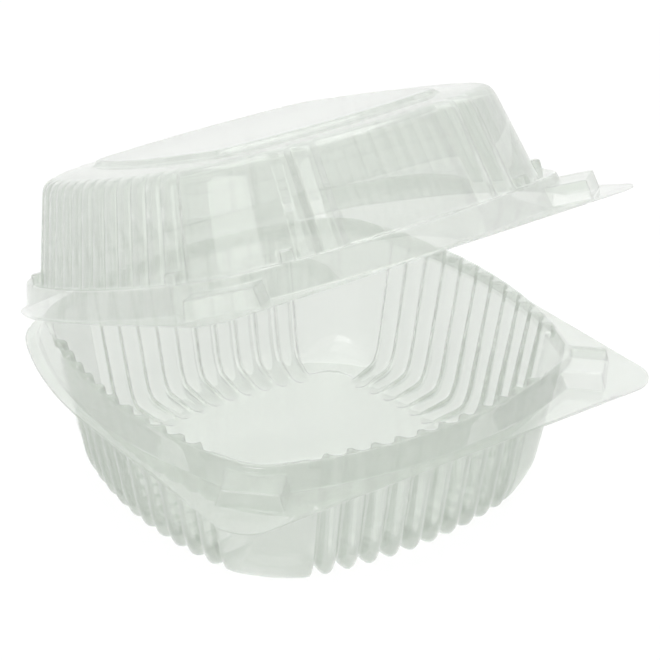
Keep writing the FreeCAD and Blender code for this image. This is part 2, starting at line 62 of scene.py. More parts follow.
# %% Sizes in millimetres
WALL = 0.35            # thickness of the clear sheet
FORMED = 0.4           # how far the model's two skins lie apart
BOW = 65.25            # a side arc's centre, past the middle of the pack
CREST = 70.0           # middle to the rim's crest at mid side
CREST_CORNER = 17.6
CREST_HEIGHT = 46.6
BAND = 2.9             # the band below the crest slopes out this far
FLANGE_TOP = 39.55
FLANGE_REACH = 3.1     # flange beyond the band
TAB_CORNER = 10.5
HINGE_HALF = 32.0
LID_OPEN = math.radians(22.66)
SIDES = 4
FRONT, RIGHT, BACK, LEFT = range(SIDES)
FLANGE = CREST + BAND + FLANGE_REACH
FLOOR_LEVEL = 1.9      # underside of the tray's floor
WALL_FOOT = 8.0        # height where the tray's wall starts to turn in
print("flange, middle to edge:", FLANGE, "mm")

# %% [markdown]
# ## Bowed squares as arrays
#
# One side of an outline is worked out for the front, as arrays of points, and then turned by
# quarter turns. A point on a side arc is the arc's centre plus its reach times a direction. A ray
# that leaves one outline and meets another gives the matching point further out.

# %% Points and rays on a bowed square


def along_side(half, degrees):
    """Points on the front side arc: centre (0, BOW) plus BOW + half in the direction of an angle."""
    angle = np.radians(degrees)
    reach = BOW + half
    return np.stack([reach * np.sin(angle), BOW - reach * np.cos(angle)], axis=-1)


def corner_place(half, corner):
    """How far along x and y a corner arc's centre lies, where it touches both side arcs."""
    return (math.sqrt(2 * (BOW + half - corner) ** 2 - BOW ** 2) - BOW) / 2


def side_end(half, corner):
    """Degrees from mid side to the start of the corner arc."""
    place = corner_place(half, corner)
    return math.degrees(math.atan2(place, place + BOW))


def meets_circle(start, way, centre, radius):
    """Run along a ray to the far side of a circle: the larger root of the quadratic."""
    offset = start - centre
    half_b = np.sum(offset * way, axis=-1)
    rest = half_b ** 2 - np.sum(offset ** 2, axis=-1) + radius ** 2
    return -half_b + np.sqrt(np.maximum(rest, 0.0))


def meets_bowed_square(start, way, half, corner):
    """Run along rays, right half of the front side, to a bowed square, and the normals there."""
    place = corner_place(half, corner)
    to_side = meets_circle(start, way, np.array([0.0, BOW]), BOW + half)
    hit = start + way * to_side[:, None]
    on_side = np.degrees(np.arctan2(hit[:, 0], BOW - hit[:, 1])) <= side_end(half, corner)
    to_corner = meets_circle(start, way, np.array([place, -place]), corner)
    run = np.where(on_side, to_side, to_corner)
    hit = start + way * run[:, None]
    from_side = (hit - np.array([0.0, BOW])) / (BOW + half)
    from_corner = (hit - np.array([place, -place])) / corner
    normal = np.where(on_side[:, None], from_side, from_corner)
    return run, normal / np.linalg.norm(normal, axis=-1, keepdims=True)


def turned(points, side):
    """Plan points of the front side, turned by quarter turns to another side."""
    angle = math.pi / 2 * side
    turn = np.array([[math.cos(angle), math.sin(angle)], [-math.sin(angle), math.cos(angle)]])
    return points @ turn


def smooth_step(low, high, value):
    """0 below low, 1 above high, and an even S between them."""
    share = np.clip((value - low) / (high - low), 0.0, 1.0)
    return share * share * (3 - 2 * share)


print("crest's corner arcs start", round(side_end(CREST, CREST_CORNER), 1), "degrees from mid side")

# %% [markdown]
# ## From rings of points to a sheet
#
# Each half of the pack is one grid of points. Going round, the grid follows the outline; going
# out, it runs from the middle to the flange's edge through a few stations. At each station the
# sheet bends, and real plastic bends in a small radius. So every station is replaced by a few
# points of a curve that starts and ends a little way along its two neighbours.

# %% Bends, and a mesh from the grid
MM = 0.001             # the arrays are in millimetres, and meshes in metres


def bent(stations, reaches, steps):
    """Rings through stations, each bend rounded.

    A bend is the curve (1-t)^2 A + 2t(1-t) B + t^2 C, where B is the station, and A and C lie
    its reach before and after it, but never past 0.45 of the way to the next station.
    """
    rings = [stations[0]]
    for index in range(1, len(stations) - 1):
        before, here, after = stations[index - 1:index + 2]
        back, on = before - here, after - here
        back_run = np.linalg.norm(back, axis=-1, keepdims=True) + 1e-9
        on_run = np.linalg.norm(on, axis=-1, keepdims=True) + 1e-9
        reach = reaches[index]
        start = here + back / back_run * np.minimum(reach, 0.45 * back_run)
        end = here + on / on_run * np.minimum(reach, 0.45 * on_run)
        for t in np.linspace(0.0, 1.0, steps[index]):
            rings.append((1 - t) ** 2 * start + 2 * t * (1 - t) * here + t ** 2 * end)
    rings.append(stations[-1])
    return np.array(rings)


def sheet_mesh(name, rings, flip):
    """A closed-in grid: rings of points joined by quads, with a fan at the middle, in metres."""
    ring_count, around, _ = rings.shape
    middle = rings[0].mean(axis=0)
    points = np.concatenate([rings.reshape(-1, 3), middle[None]]) * MM
    ring, spoke = np.meshgrid(np.arange(ring_count - 1), np.arange(around), indexing="ij")
    following = (spoke + 1) % around
    quads = np.stack([
        ring * around + spoke,
        (ring + 1) * around + spoke,
        (ring + 1) * around + following,
        ring * around + following,
    ], axis=-1).reshape(-1, 4)
    spokes = np.arange(around)
    fan = np.stack([np.full(around, ring_count * around), spokes, (spokes + 1) % around], axis=-1)
    if flip:
        quads = quads[:, ::-1]
        fan = fan[:, ::-1]
    mesh = bpy.data.meshes.new(name)
    mesh.from_pydata(points.tolist(), [], quads.tolist() + fan.tolist())
    mesh.polygons.foreach_set("use_smooth", np.ones(len(mesh.polygons), bool))
    mesh.update()
    return mesh


def formed(name, rings, flip, body, node):
    """The finished sheet of one half: its mesh, its thickness and its place in the frame."""
    piece = bpy.data.objects.new(name, sheet_mesh(name, rings, flip))
    bpy.context.scene.collection.objects.link(piece)
    wall = piece.modifiers.new("sheet thickness", "SOLIDIFY")
    wall.thickness = WALL * MM
    wall.offset = -1.0
    wall.use_even_offset = False
    wall.use_quality_normals = True
    level = piece.modifiers.new("level shading", "WEIGHTED_NORMAL")
    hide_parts(node)
    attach(piece, body)
    return piece


# %% [markdown]
# ## Around the tray
#
# The tray's wall has ten flutes a side, fanned about the side arc's centre, with narrow ridges
# between them and a smooth corner after the last. Each sample around the wall is described once:
# its angle, how far it is into a flute, and how far it is round the corner. Each height then
# only needs the insets of the flutes, the ridges and the corners there.

# %% Samples around half a side of the tray
FLUTES = 10
FLUTE_STEP = 3.246
RIDGE_TURN = 0.45
CORNER_GAP = 0.7
NEAR = FLUTE_STEP * FLUTES / 2 + CORNER_GAP


ROUND_BY = 1.04        # radius of a flute's arc for a half width of 1


def bulge(across):
    """Height of a rounded flute at -1 to 1 across it: part of a circle, 1 in the middle."""
    low = math.sqrt(ROUND_BY ** 2 - 1)
    return (np.sqrt(ROUND_BY ** 2 - across ** 2) - low) / (ROUND_BY - low)


def half_side_of_flutes():
    """Angles and flute heights from mid side to the smooth corner."""
    across = np.sin(np.linspace(-math.pi / 2, math.pi / 2, 11))
    degrees = [np.zeros(1)]
    heights = [np.zeros(1)]
    for number in range(FLUTES // 2):
        start = FLUTE_STEP * number + RIDGE_TURN / 2
        wide = FLUTE_STEP - RIDGE_TURN
        degrees.append(start + wide * (across + 1) / 2)
        heights.append(bulge(across))
    return np.concatenate(degrees), np.concatenate(heights)


flute_degrees, flute_heights = half_side_of_flutes()
print("samples across half a side's flutes:", len(flute_degrees))


def corner_arc(start, reach, share):
    """Half a corner, from a point on the front side to the diagonal, as part of a circle.

    The circle is centred on the diagonal and goes through start and through the point on the
    diagonal at reach. share runs from 0 at start to 1 on the diagonal.
    """
    along_way = np.array([1.0, -1.0]) / math.sqrt(2)
    across_way = np.array([1.0, 1.0]) / math.sqrt(2)
    chord = -float(start @ across_way)
    rise = max(reach - float(start @ along_way), 1e-3)
    radius = (chord ** 2 + rise ** 2) / (2 * rise)
    angle = math.atan2(chord, radius - rise)
    angles = (1 - np.asarray(share)) * angle
    along = reach - radius + radius * np.cos(angles)
    return along[:, None] * along_way - (radius * np.sin(angles))[:, None] * across_way


class TrayStation:
    """One height of the fluted wall: (inset, height) of flutes, ridges and corners."""

    def __init__(self, flute, ridge, corner, turn, reach):
        self.flute = flute
        self.ridge = ridge
        self.corner = corner
        self.turn = turn
        self.reach = reach

    def corner_points(self, position):
        """Smooth corner at 0 to 1 along the side arc and 1 to 2 round half the corner arc."""
        half = CREST - self.corner[0]
        on_side = along_side(half, NEAR + np.clip(position, 0, 1) * (self.turn - NEAR))
        start = along_side(half, np.array([self.turn]))[0]
        on_corner = corner_arc(start, self.reach, np.clip(position - 1, 0, 1))
        return np.where((position > 1)[:, None], on_corner, on_side)

    def half_side(self, degrees, heights, smooth, position):
        """Plan points and heights from mid side to the diagonal."""
        half = CREST - (self.ridge[0] + heights * (self.flute[0] - self.ridge[0]))
        level = self.ridge[1] + heights * (self.flute[1] - self.ridge[1])
        half = half + smooth * (CREST - self.corner[0] - half)
        level = level + smooth * (self.corner[1] - level)
        corners = self.corner_points(position)
        plan = np.concatenate([along_side(half, degrees), corners])
        return plan, np.concatenate([level, np.full(len(corners), self.corner[1])])


RIM_END = side_end(CREST, CREST_CORNER)
RIM_DIAGONAL = math.sqrt(2) * corner_place(CREST, CREST_CORNER) + CREST_CORNER
PAD_TURN = 4.0
PAD_REACH = RIM_DIAGONAL - 12.5 - 3.2

# %% [markdown]
# ## Where the samples round a corner go
#
# The latch blocks and the small notches have edges that the grid has to follow. So the samples
# round a corner are placed by how far they lie from the diagonal, with pairs of them just before
# and after each edge, and their positions are read back from the crest's own outline.

# %% Samples round a corner
BLOCK_HALF = 9.75
BLOCK_TAPER = 1.25
NOTCH_DEGREES = 17.6
NOTCH_HALF = math.degrees(2.0 / (BOW + CREST))


def beside_diagonal(points):
    """Distance of front-side points from the diagonal of their corner."""
    return np.abs(np.abs(points[:, 0]) - np.abs(points[:, 1])) / math.sqrt(2)


def edge_pairs(edges, gap):
    """Each edge as three samples: just before, on and just after it."""
    edges = np.asarray(edges, float)
    return np.concatenate([edges - gap, edges, edges + gap])


def with_edges(even, close, furthest, apart):
    """Even samples from 0 to furthest, with those that crowd the close samples left out."""
    close = close[(close > 0) & (close < furthest)]
    kept = [value for value in even if np.all(np.abs(close - value) > apart) or value in (0.0, furthest)]
    return np.unique(np.concatenate([kept, close]))


def corner_targets(furthest, edges):
    """Distances from the diagonal, from the furthest in to 0, with each edge followed closely."""
    return with_edges(np.linspace(0.0, furthest, 21), edge_pairs(edges, 0.12), furthest, 0.3)[::-1]


crest_station = TrayStation((0, 0), (0, 0), (0, 0), RIM_END, RIM_DIAGONAL)
fine = np.linspace(0.0, 2.0, 4001)
fine_beside = beside_diagonal(crest_station.corner_points(fine))
notch_degrees = np.array([NOTCH_DEGREES - NOTCH_HALF, NOTCH_DEGREES + NOTCH_HALF])
notch_edges = beside_diagonal(along_side(CREST, notch_degrees))
block_edges = np.array([BLOCK_HALF, BLOCK_HALF - BLOCK_TAPER])
targets = corner_targets(fine_beside[0], np.concatenate([notch_edges, block_edges]))
tray_corner = np.interp(targets, fine_beside[::-1], fine[::-1])
step_share = np.array([0.25, 0.5, 0.75])
tray_degrees = np.concatenate([flute_degrees, flute_degrees[-1] + step_share * (NEAR - flute_degrees[-1])])
tray_heights = np.concatenate([flute_heights, np.zeros(len(step_share))])
tray_smooth = np.concatenate([np.zeros(len(flute_degrees)), smooth_step(0, 1, step_share)])
print("samples from mid side to the diagonal:", len(tray_degrees) + len(tray_corner))

# %% [markdown]
# ## The tray's stations
#
# From the middle out: the floor's edge, the channels under the floor, the feet, the turn into
# the wall, the wall's foot and the rim. The heights are those of the sheet's underside.

# %% Stations of the tray's wall
CREST_UNDER = CREST_HEIGHT - FORMED
FLOOR_TURN = RIM_END - 4.4
PAD_END = RIM_END - PAD_TURN
tray_stations = [
    # flute, ridge and corner as (inset, height), then the corner's turn and reach
    TrayStation(*[(31.0, FLOOR_LEVEL)] * 3, FLOOR_TURN, 48.6),
    TrayStation((28.0, FLOOR_LEVEL), (25.0, FLOOR_LEVEL), (23.2, FLOOR_LEVEL), FLOOR_TURN, 56.5),
    TrayStation((23.0, 0.0), (23.0, 2.7), (20.0, 0.0), PAD_END, PAD_REACH - 6.5),
    TrayStation((12.5, 0.0), (16.5, 3.7), (12.5, 0.0), PAD_END, PAD_REACH),
    TrayStation((9.7, 2.0), (13.4, 4.4), (10.6, 2.0), PAD_END, RIM_DIAGONAL - 10.6 - 2.4),
    TrayStation(
        (7.3, WALL_FOOT), (11.4, WALL_FOOT), (8.4, WALL_FOOT),
        RIM_END - PAD_TURN / 2, RIM_DIAGONAL - 8.4 - 0.8,
    ),
    TrayStation((0.9, CREST_UNDER), (3.5, CREST_UNDER), (1.6, CREST_UNDER), RIM_END, RIM_DIAGONAL - 1.6),
]
wall_halves = [
    station.half_side(tray_degrees, tray_heights, tray_smooth, tray_corner) for station in tray_stations
]


def ring_of(half_side):
    """One closed ring of points: half_side(side, mirrored) gives plan and heights of each half.

    A half runs from mid side to the diagonal. The mirrored half comes first, and leaves mid side
    to the other half, which leaves the diagonal to the next side.
    """
    parts = []
    for side in range(SIDES):
        for mirrored in (True, False):
            plan, level = half_side(side, mirrored)
            if mirrored:
                plan, level = plan[:0:-1] * np.array([-1.0, 1.0]), level[:0:-1]
            else:
                plan, level = plan[:-1], level[:-1]
            parts.append(np.column_stack([turned(plan, side), level]))
    return np.concatenate(parts)


def same_all_round(plan, level):
    return ring_of(lambda side, mirrored: (plan, level))


wall_rings = [same_all_round(plan, level) for plan, level in wall_halves]
print("points around the tray:", len(wall_rings[0]))

# %% [markdown]
# ## Rim, flange and latch blocks
#
# Tray and lid end in the same way: a sloping band, then a flat flange that is square at the
# front, bowed at the back and straight along the fold. At the two front corners a tapered block
# stands on the flange. The grid's spokes run parallel to the diagonal there, so that the block's
# walls lie between neighbouring spokes.

# %% The rim of either half


class Rim:
    """Sizes of one rim: the heights of crest and flange, the band's foot and the blocks."""

    def __init__(self, level, low, foot_half, foot_corner, block_half, block_height, planes):
        self.level = level
        self.low = low
        self.foot_half = foot_half
        self.foot_corner = foot_corner
        self.block_half = block_half
        self.block_height = block_height
        self.planes = planes

    def half_side(self, side, mirrored, start, normal):
        """Six stations, crest to flange edge: points run out from start along each spoke.

        Each run is where the spoke meets the band's foot, the block's outer face or the edge.
        """
        square = side == FRONT or (side == RIGHT and mirrored) or (side == LEFT and not mirrored)
        diagonal = np.array([1.0, -1.0]) / math.sqrt(2)
        beside = beside_diagonal(start)
        share = smooth_step(self.block_half + 1.2, self.block_half + 6.5, beside)[:, None]
        way = diagonal * (1 - share) + normal * share if square else normal
        way = way / np.linalg.norm(way, axis=-1, keepdims=True)
        foot, _ = meets_bowed_square(start, way, self.foot_half, self.foot_corner)
        straight = (FLANGE + start[:, 1]) / np.maximum(-way[:, 1], 1e-6)
        if square:
            inner = FLANGE - TAB_CORNER
            edge = np.minimum(straight, (FLANGE - start[:, 0]) / np.maximum(way[:, 0], 1e-6))
            hit = start + way * edge[:, None]
            in_corner = (hit[:, 0] > inner) & (hit[:, 1] < -inner)
            rounded = meets_circle(start, way, np.array([inner, -inner]), TAB_CORNER)
            edge = np.where(in_corner, rounded, edge)
            slope = np.maximum(way @ diagonal, 1e-6)
            faces = [(plane - start @ diagonal) / slope for plane in self.planes]
            lift = np.clip((self.block_half - beside) / BLOCK_TAPER, 0, 1) * self.block_height
        else:
            edge, _ = meets_bowed_square(start, way, FLANGE, CREST_CORNER + FLANGE - CREST)
            if side == BACK:
                end = np.abs(start[:, 0] + way[:, 0] * straight)
                edge = edge + (straight - edge) * smooth_step(HINGE_HALF + 1.5, HINGE_HALF, end)
            faces = [edge, edge]
            lift = 0 * beside
        near = np.minimum(faces[0], foot + 0.72 * (edge - foot))
        far = np.minimum(faces[1], foot + 0.80 * (edge - foot))
        upper = (self.level - self.low - self.block_height) / (self.level - self.low)
        runs = [0 * foot, foot * upper, foot, near, far, edge]
        block_top = self.low + self.block_height
        levels = [self.level, block_top, self.low + lift, self.low + lift, self.low, self.low]
        return [(start + way * run[:, None], rise + 0 * run) for run, rise in zip(runs, levels)]

    def rings(self, start_of):
        """The six stations right round; start_of(side) gives a half side's points and normals."""
        found = {
            (side, mirrored): self.half_side(side, mirrored, *start_of(side))
            for side in range(SIDES) for mirrored in (True, False)
        }
        return [ring_of(lambda side, mirrored: found[side, mirrored][number]) for number in range(6)]


crest_plan = np.concatenate([
    along_side(CREST - FORMED, tray_degrees),
    TrayStation((0, 0), (0, 0), (FORMED, 0), RIM_END, RIM_DIAGONAL - FORMED).corner_points(tray_corner),
])
crest_degrees = np.degrees(np.arctan2(crest_plan[:, 0], BOW - crest_plan[:, 1]))
from_side = (crest_plan - np.array([0.0, BOW])) / (BOW + CREST - FORMED)
corner_middle = np.array([1.0, -1.0]) * corner_place(CREST, CREST_CORNER)
from_corner = (crest_plan - corner_middle) / (CREST_CORNER - FORMED)
crest_normal = np.where((crest_degrees > RIM_END)[:, None], from_corner, from_side)
# the band's underside ends a little further in, where it meets the flange's underside
BAND_FOOT = CREST + BAND - 0.56
BLOCK_HEIGHT = 4.95
BLOCK_TOP_PLANE = 90.0
BLOCK_FOOT_PLANE = 91.0
tray_rim = Rim(
    CREST_UNDER, FLANGE_TOP - FORMED, BAND_FOOT, CREST_CORNER - FORMED,
    BLOCK_HALF - FORMED, BLOCK_HEIGHT, (BLOCK_TOP_PLANE - FORMED, BLOCK_FOOT_PLANE - FORMED),
)
tray_rim_rings = tray_rim.rings(lambda side: (crest_plan, crest_normal))
print("flange edge, x:", tray_rim_rings[-1][:, 0].min(), tray_rim_rings[-1][:, 0].max())

# %% [markdown]
# ## Notches in the crest
#
# Beside each corner the crest dips into a small square pocket. Between the wall and the crest
# the grid has two more stations for it. Away from the notches they lie on the wall.

# %% Notches, and the whole tray
NOTCH_DEPTH = 3.0
NOTCH_INSET = 1.2
NOTCH_EDGE = 0.1       # degrees over which a notch's side wall climbs


def within_notch(degrees):
    """1 inside a notch or a bump and 0 outside it, by degrees from mid side."""
    past_edge = NOTCH_HALF + NOTCH_EDGE / 2 - np.abs(degrees - NOTCH_DEGREES)
    return np.clip(past_edge / NOTCH_EDGE, 0, 1)


def tray_notch_rings():
    """Three rings: the wall at the notch's shelf, the shelf's outer edge, the crest's inner edge.

    inside is 1 within a notch and 0 elsewhere, where all three lie on the fluted wall.
    """
    (foot_plan, foot_level), (rim_plan, rim_level) = wall_halves[-2:]
    inside = within_notch(crest_degrees)
    shelf = CREST_UNDER - NOTCH_DEPTH
    rings = []
    for height in (shelf, shelf + 1.6):
        share = ((height - foot_level) / (rim_level - foot_level))[:, None]
        rings.append(foot_plan + share * (rim_plan - foot_plan))
    outer = crest_plan - crest_normal * (NOTCH_INSET - 2 * FORMED)
    mix = inside[:, None]
    out_plan = rings[1] * (1 - mix) + outer * mix
    edge_plan = rim_plan * (1 - mix) + outer * mix
    return [
        same_all_round(rings[0], shelf + 0 * inside),
        same_all_round(out_plan, shelf + 1.6 * (1 - inside)),
        same_all_round(edge_plan, rim_level),
    ]


def between(low, high, count):
    """Evenly spaced stations between two rings."""
    return [low + (high - low) * share for share in np.linspace(0, 1, count + 2)[1:-1]]


def towards_middle(ring):
    """Rings that draw a level ring in towards the middle."""
    return [ring * np.array([share, share, 1.0]) for share in (0.04, 0.35, 0.7)]


def rim_bends(rings, crest_reach):
    """The six rim stations with how far each bend reaches and how many points it gets."""
    return list(zip(rings, (crest_reach, 0.5, 0.5, 0.5, 0.4, 0), (4, 3, 3, 3, 3, 1)))


wall_foot = wall_rings[-2]
shelf_ring, notch_edge, crest_edge = tray_notch_rings()
tray_stack = [
    # ring, reach of its bend, points in the bend
    *[(ring, 0, 1) for ring in towards_middle(wall_rings[0])],
    (wall_rings[0], 0, 1), (wall_rings[1], 1.6, 4), (wall_rings[2], 1.6, 4), (wall_rings[3], 2.6, 5),
    (wall_rings[4], 3.0, 5), (wall_foot, 3.0, 4),
    *[(ring, 0, 1) for ring in between(wall_foot, shelf_ring, 4)],
    (shelf_ring, 0.3, 2), (notch_edge, 0.3, 2), (crest_edge, 0.45, 3),
    *rim_bends(tray_rim_rings, 0.7),
]
tray = formed("tray_sheet", bent(*zip(*tray_stack)), True, "tray", "tray")
print("tray sheet:", len(tray.data.vertices), "points before it gets its thickness")

# %% [markdown]
# ## Around the lid
#
# The lid's dome has another outline, with wide soft corners. Its left and right sides are fluted,
# and its front and back have a flat panel between pairs of ribs. A sample is placed by its run
# along the outline from mid side, and the relief is how far the surface lies in from it there.

# %% The dome's outline and relief
LEDGE = 72.1
LEDGE_HEIGHT = 48.7
DOME = 69.9
DOME_CORNER = 46.0
LID_FLANGE_TOP = 40.4
LID_FLUTE_PITCH = 6.75
LID_FLUTES = 13
LID_FLUTE_END = LID_FLUTE_PITCH * LID_FLUTES / 2
LID_BLOCK_HALF = BLOCK_HALF + 1.3
FLUTE_DEPTH = 1.2
DOME_END = side_end(DOME, DOME_CORNER)
DOME_SIDE_RUN = (BOW + DOME) * math.radians(DOME_END)
DOME_HALF_RUN = DOME_SIDE_RUN + DOME_CORNER * math.radians(45 - DOME_END)


def along_dome(run, inset):
    """Points at a run from mid side along the dome's foot, moved in by inset, and the normals."""
    on_side = run <= DOME_SIDE_RUN
    past_side = math.radians(DOME_END) + (run - DOME_SIDE_RUN) / DOME_CORNER
    angle = np.where(on_side, run / (BOW + DOME), past_side)
    place = corner_place(DOME, DOME_CORNER)
    centre = np.where(on_side[:, None], np.array([0.0, BOW]), np.array([place, -place]))
    reach = np.where(on_side, BOW + DOME, DOME_CORNER) - inset
    normal = np.stack([np.sin(angle), -np.cos(angle)], axis=-1)
    return centre + normal * reach[:, None], normal


def fluted_relief(run):
    """Depth at a run along a left or right side: rounded flutes with grooves 1.2 deep."""
    across = 2 * np.mod(run / LID_FLUTE_PITCH + 0.5, 1.0) - 1
    depth = FLUTE_DEPTH * (1 - bulge(across))
    fading = FLUTE_DEPTH * (1 - smooth_step(0, 2.0, run - LID_FLUTE_END))
    return np.where(run <= LID_FLUTE_END, depth, fading)


RIB_RUNS = [22.5, 25.6, 27.4, 30.5, 33.6, 35.4, 38.5]
RIB_DEPTHS = [0.5, -1.8, -1.8, 0.5, -1.8, -1.8, 0.0]


def ribbed_relief(run):
    """Depth at a run along the front or back: a flat panel set in by 0.5, then two ribs."""
    return np.interp(run, [0.0, *RIB_RUNS], [0.5, *RIB_DEPTHS])


print("half a side of the dome runs", round(DOME_HALF_RUN, 1), "mm")

# %% [markdown]
# ## Where the lid's samples go
#
# The ledge outside the dome has the same kind of spokes as the tray's rim. Each leaves the dome's
# foot square to it and meets the ledge's edge, where the latch blocks and the bumps have theirs.

# %% Samples round the lid
lid_fine = np.linspace(0.0, DOME_HALF_RUN, 4001)
fine_plan, fine_normal = along_dome(lid_fine, np.zeros_like(lid_fine))
fine_run, _ = meets_bowed_square(fine_plan, fine_normal, LEDGE, CREST_CORNER)
fine_ledge = fine_plan + fine_normal * fine_run[:, None]
fine_degrees = np.degrees(np.arctan2(fine_ledge[:, 0], BOW - fine_ledge[:, 1]))
lid_fine_beside = beside_diagonal(fine_ledge)
lid_edges = np.interp(
    [LID_BLOCK_HALF, LID_BLOCK_HALF - BLOCK_TAPER], lid_fine_beside[::-1], lid_fine[::-1]
)
bump_edges = np.interp(notch_degrees, fine_degrees, lid_fine)


def lid_runs(even, rounded_edges):
    """Runs from mid side to the diagonal, with block, bump and relief edges followed closely."""
    sharp = edge_pairs([*lid_edges, *bump_edges], 0.1)
    return with_edges(even, np.concatenate([sharp, edge_pairs(rounded_edges, 0.35)]), DOME_HALF_RUN, 0.28)


flute_share = np.sin(np.linspace(-math.pi / 2, math.pi / 2, 10)) / 2
flute_runs = np.concatenate([
    LID_FLUTE_PITCH * (number + flute_share) for number in range(LID_FLUTES // 2 + 1)
])
flute_runs = np.concatenate([
    flute_runs[flute_runs >= 0], [0.0], np.linspace(LID_FLUTE_END + 0.4, DOME_HALF_RUN, 22),
])
side_runs = lid_runs(np.unique(flute_runs), [])
panel_runs = np.linspace(0, 22, 12)
rib_runs = np.linspace(23.4, DOME_HALF_RUN, 44)
front_runs = lid_runs(np.concatenate([panel_runs, rib_runs]), RIB_RUNS)
lid_samples = {side: (side_runs if side in (LEFT, RIGHT) else front_runs) for side in range(SIDES)}
print("samples:", len(side_runs), "on a fluted half side,", len(front_runs), "on a ribbed one")

# %% [markdown]
# ## The lid's stations
#
# The dome climbs from its foot in a straight lean, turns over a small round edge and runs in over
# the shoulder to the raised plateau. The relief is whole on the wall and fades on the shoulder.

# %% Dome, ledge and bumps
DOME_LEAN = 6.8
LEAN_TOP = 74.1
DOME_STATIONS = [
    # inset, height, share of the relief, extra reach at the diagonal
    (26.0, 79.8, 0.0, 1.8),
    (24.4, 78.3, 0.0, 1.8),
    (15.5, 77.95, 0.0, 0.8),
    (10.4, 77.7, 0.7, 0.0),
    (8.06, 76.62, 1.0, 0.0),
    (DOME_LEAN, LEAN_TOP, 1.0, 0.0),
]


def dome_half(side, inset, height, share, tip):
    """Half a side of the dome at one station, with its share of the relief."""
    run = lid_samples[side]
    relief = fluted_relief(run) if side in (LEFT, RIGHT) else ribbed_relief(run)
    plan, normal = along_dome(run, inset + share * relief)
    plan = plan + normal * (tip * smooth_step(0.55, 1.0, run / DOME_HALF_RUN))[:, None]
    return plan, height + 0 * run


def dome_ring(*station):
    halves = {side: dome_half(side, *station) for side in range(SIDES)}
    return ring_of(lambda side, mirrored: halves[side])


def ledge_start(side):
    """The ledge's edge seen square from the dome's foot: points and normals there."""
    plan, normal = along_dome(lid_samples[side], 0 * lid_samples[side])
    run, edge_normal = meets_bowed_square(plan, normal, LEDGE, CREST_CORNER)
    return plan + normal * run[:, None], edge_normal


BUMP_HEIGHT = 3.0
BUMP_INSET = 0.6


def bump_rings():
    """Three rings: the wall at a bump's top, the bump's outer edge, and its foot on the ledge."""
    found = {}
    for side in range(SIDES):
        edge, edge_normal = ledge_start(side)
        degrees = np.degrees(np.arctan2(edge[:, 0], BOW - edge[:, 1]))
        inside = within_notch(degrees)
        mix = inside[:, None]
        climb = BUMP_HEIGHT / (LEAN_TOP - LEDGE_HEIGHT)
        on_wall, _ = dome_half(side, DOME_LEAN * climb, 0.0, 1.0, 0.0)
        foot, _ = dome_half(side, 0.0, 0.0, 1.0, 0.0)
        outer = edge - edge_normal * BUMP_INSET
        found[side] = [
            (on_wall, LEDGE_HEIGHT + BUMP_HEIGHT + 0 * inside),
            (foot * (1 - mix) + outer * mix, LEDGE_HEIGHT + BUMP_HEIGHT * inside),
            ((foot + edge) / 2 * (1 - mix) + (outer + edge_normal * 0.15) * mix, LEDGE_HEIGHT + 0 * inside),
        ]
    return [ring_of(lambda side, mirrored: found[side][number]) for number in range(3)]


SKIRT_FOOT = 74.0
LID_BLOCK_HEIGHT = 5.6
LID_BLOCK_OUT = LID_BLOCK_HALF - BLOCK_HALF
lid_rim = Rim(
    LEDGE_HEIGHT, LID_FLANGE_TOP, SKIRT_FOOT, CREST_CORNER, LID_BLOCK_HALF, LID_BLOCK_HEIGHT,
    (BLOCK_TOP_PLANE + LID_BLOCK_OUT, BLOCK_FOOT_PLANE + LID_BLOCK_OUT),
)
lid_rim_rings = lid_rim.rings(ledge_start)
dome_rings = [dome_ring(*station) for station in DOME_STATIONS]
bump_top, bump_edge, bump_foot = bump_rings()
lid_stack = [
    *[(ring, 0, 1) for ring in towards_middle(dome_rings[0])],
    *zip(dome_rings, (0.8, 0.8, 2.0, 1.2, 1.2, 1.2), (4, 4, 3, 3, 3, 3)),
    *[(ring, 0, 1) for ring in between(dome_rings[-1], bump_top, 5)],
    (bump_top, 0.3, 2), (bump_edge, 0.5, 3), (bump_foot, 0.3, 2),
    *rim_bends(lid_rim_rings, 0.8),
]
lid_shut = bent(*zip(*lid_stack))
print("rings from the plateau's middle to the lid's edge:", len(lid_shut))

# %% [markdown]
# ## Opening the lid
#
# The lid is worked out shut and then turned about the fold line. Turning the points rather than
# the object keeps the object at the origin, unturned, as the model's own parts are.

# %% The lid, turned open
FOLD_LINE = np.array([0.0, 76.6, 39.775])


def opened(points, angle):
    """Turns points about the fold line, which runs along X, by an angle that lifts the front."""
    away = points - FOLD_LINE
    up = away[..., 2] * math.cos(angle) - away[..., 1] * math.sin(angle)
    back = away[..., 1] * math.cos(angle) + away[..., 2] * math.sin(angle)
    return FOLD_LINE + np.stack([away[..., 0], back, up], axis=-1)


lid = formed("lid_sheet", opened(lid_shut, LID_OPEN), False, "lid", "lid")
print("lid sheet:", len(lid.data.vertices), "points before it gets its thickness")

# %% [markdown]
# ## The fold
#
# Between the two flanges the sheet has a crease. It bends through the opening angle in a millimetre
# and has gone slightly wavy, so the strip is a small arc from edge to edge with a ripple.

# %% The fold strip
FOLD_SAMPLES = 129
FOLD_STEPS = 9
FOLD_THICKNESS = 0.2
RIPPLES = [
    # height in mm, radians per mm along the fold, start
    (0.10, 1.9, 0.0),
    (0.07, 3.7, 1.0),
    (0.05, 0.8, 2.0),
]


